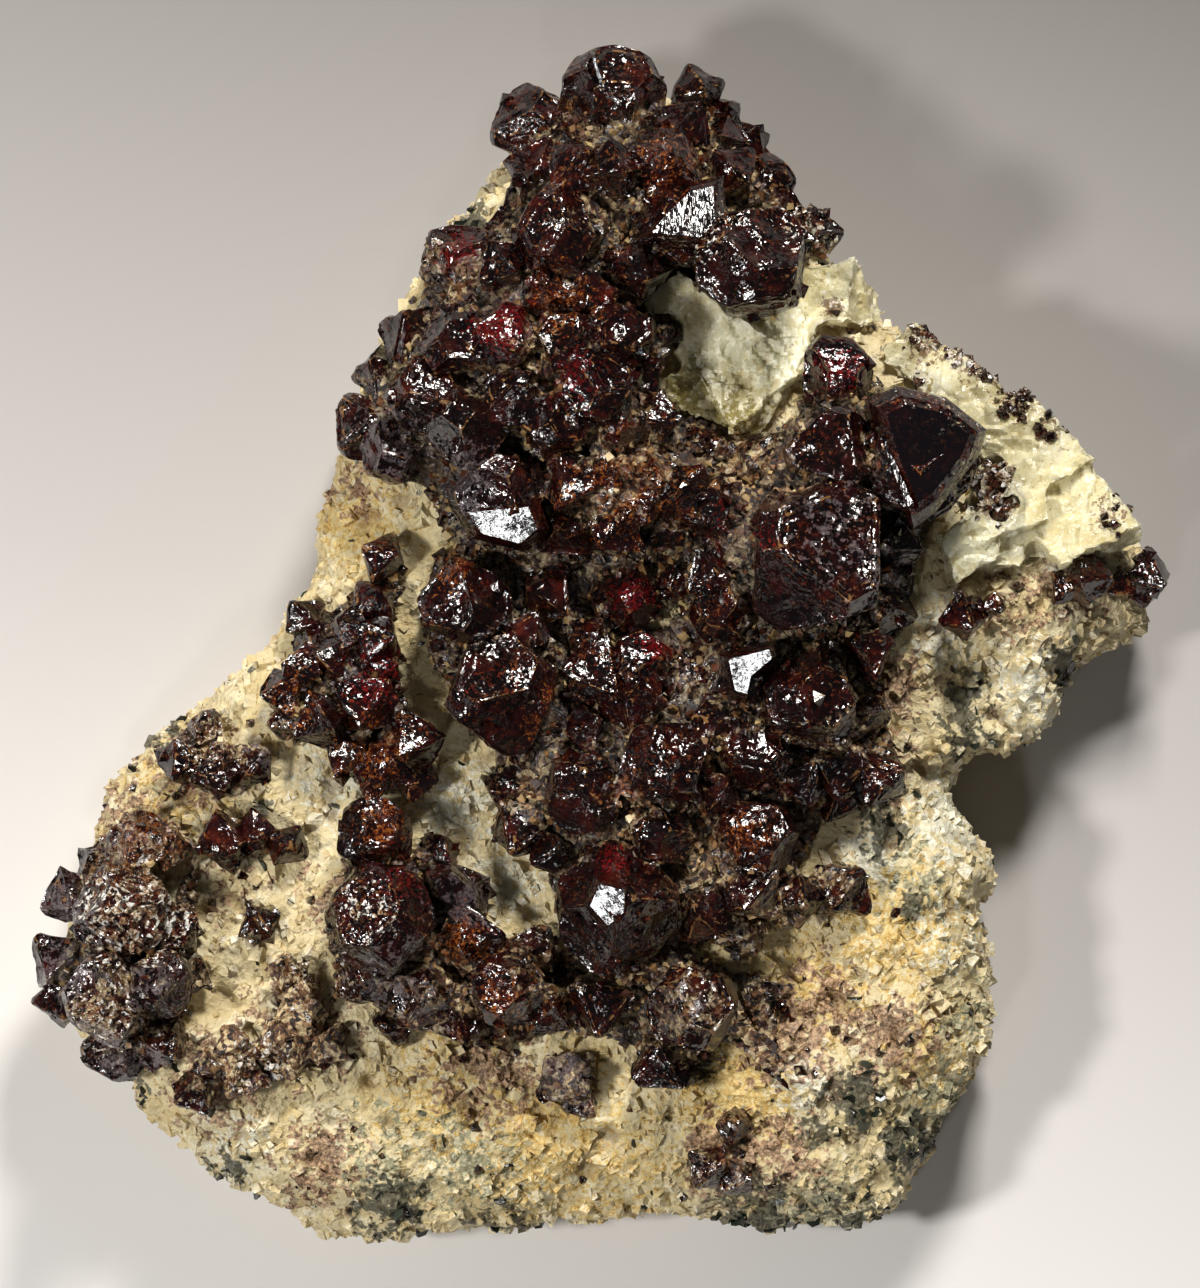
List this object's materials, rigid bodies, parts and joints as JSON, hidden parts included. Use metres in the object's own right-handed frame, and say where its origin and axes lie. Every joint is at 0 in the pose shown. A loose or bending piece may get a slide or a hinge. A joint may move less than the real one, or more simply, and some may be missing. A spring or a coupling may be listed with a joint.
{
  "type": "mineral specimen, pyrochlore in matrix",
  "caption": "Slab of pale rock, flat at the back, its face covered with dark intergrown octahedral crystals and pale translucent calcite.",
  "frame": {"origin": "on the flat back, under the middle of the specimen", "axes": "+Z out of the crystal-covered face, +Y towards the pointed crown, +X to the right seen from the face"},
  "size_m": [0.1059, 0.111, 0.0348],
  "materials": {
    "matrix": "rough broken rock",
    "pyrochlore": "glassy to resinous crystal faces",
    "altered_pyrochlore": "dull, partly altered crystal faces",
    "calcite": "translucent cleavage faces"
  },
  "bodies": {
    "root": {"matrix": "matrix", "pyrochlore_mass": "pyrochlore", "pyrochlore_band_left": "pyrochlore", "pyrochlore_corner": "pyrochlore", "pyrochlore_patch_upper_left": "pyrochlore", "pyrochlore_pair_left": "pyrochlore", "pyrochlore_single_red": "pyrochlore", "pyrochlore_patch_lower_left": "altered_pyrochlore", "altered_crystal_grey": "altered_pyrochlore", "pyrochlore_patch_lower_right": "altered_pyrochlore", "pyrochlore_single_brown": "pyrochlore", "pyrochlore_group_right": "altered_pyrochlore", "pyrochlore_edge_inner": "pyrochlore", "pyrochlore_edge_tip": "pyrochlore", "calcite_upper": "calcite", "calcite_right": "calcite"}
  },
  "joints": []
}
